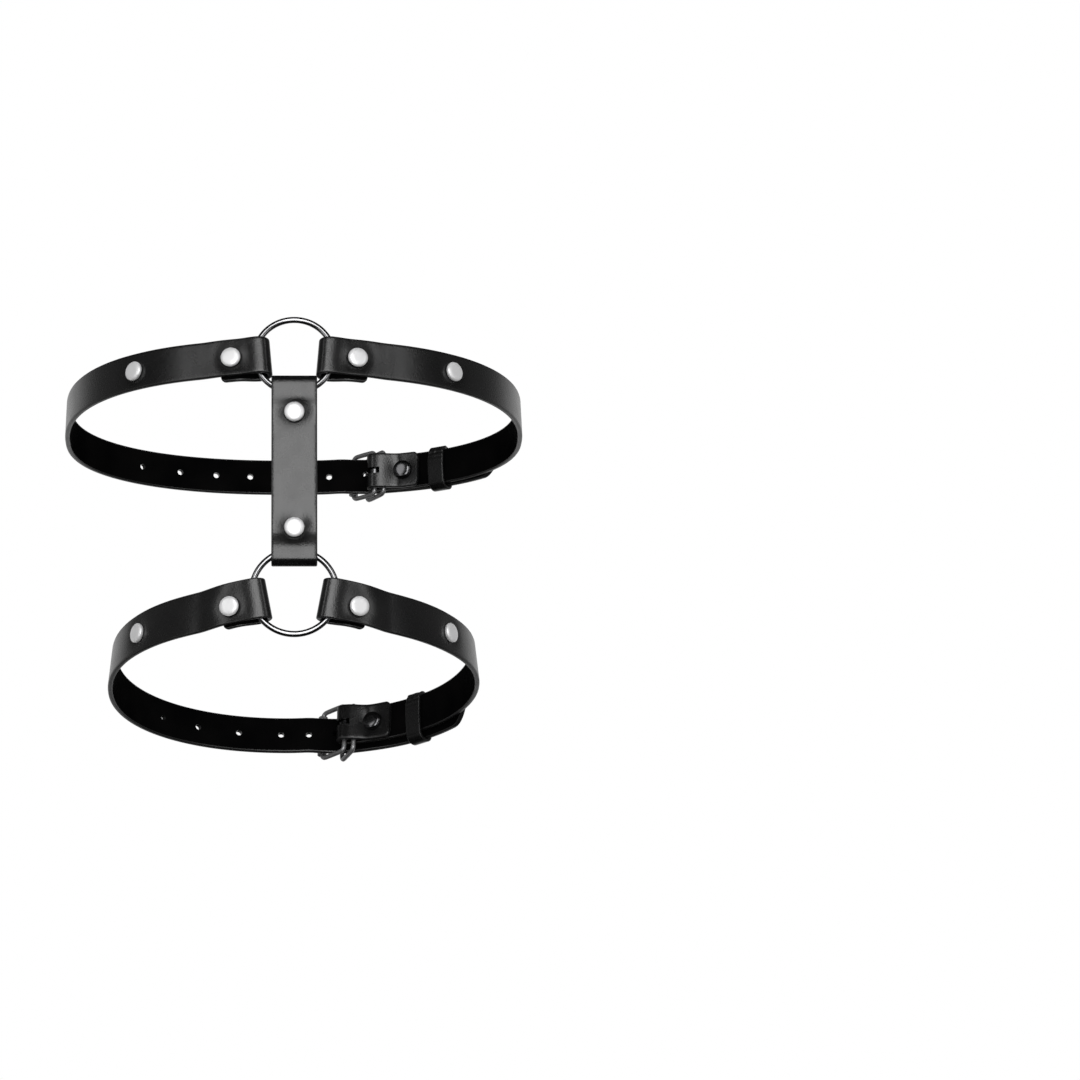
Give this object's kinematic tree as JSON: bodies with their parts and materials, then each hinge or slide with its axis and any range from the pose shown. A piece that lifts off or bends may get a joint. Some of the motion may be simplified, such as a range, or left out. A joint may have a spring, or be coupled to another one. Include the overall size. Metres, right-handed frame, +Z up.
{
  "type": "thigh harness",
  "caption": "Leather thigh harness: two buckled bands joined by round rings and a short upright strap in front, in its worn form.",
  "frame": {"origin": "on the axis of the leg it is worn on, between the two bands", "axes": "+Z up the leg, -Y the front with the rings, -X the side of the holed straps' long run"},
  "size_m": [0.1909, 0.1883, 0.1508],
  "materials": {
    "strap_leather": "smooth semi-gloss black leather",
    "polished_metal": "polished nickel plate",
    "buckle_metal": "dark nickel plate"
  },
  "bodies": {
    "root": {"upper_left_strap": "strap_leather", "upper_right_strap": "strap_leather", "upper_ring": "polished_metal", "upper_buckle": "buckle_metal", "upper_roller": "buckle_metal", "upper_tongue": "buckle_metal", "upper_wire_loop": "buckle_metal", "upper_keeper": "strap_leather", "upper_left_inner_rivet": "polished_metal", "upper_left_outer_rivet": "polished_metal", "upper_right_inner_rivet": "polished_metal", "upper_right_outer_rivet": "polished_metal", "upper_heel_rivet": "polished_metal", "lower_left_strap": "strap_leather", "lower_right_strap": "strap_leather", "lower_ring": "polished_metal", "lower_buckle": "buckle_metal", "lower_roller": "buckle_metal", "lower_tongue": "buckle_metal", "lower_wire_loop": "buckle_metal", "lower_keeper": "strap_leather", "lower_left_inner_rivet": "polished_metal", "lower_left_outer_rivet": "polished_metal", "lower_right_inner_rivet": "polished_metal", "lower_right_outer_rivet": "polished_metal", "lower_heel_rivet": "polished_metal", "centre_strap": "strap_leather", "centre_top_rivet": "polished_metal", "centre_bottom_rivet": "polished_metal"}
  },
  "joints": []
}
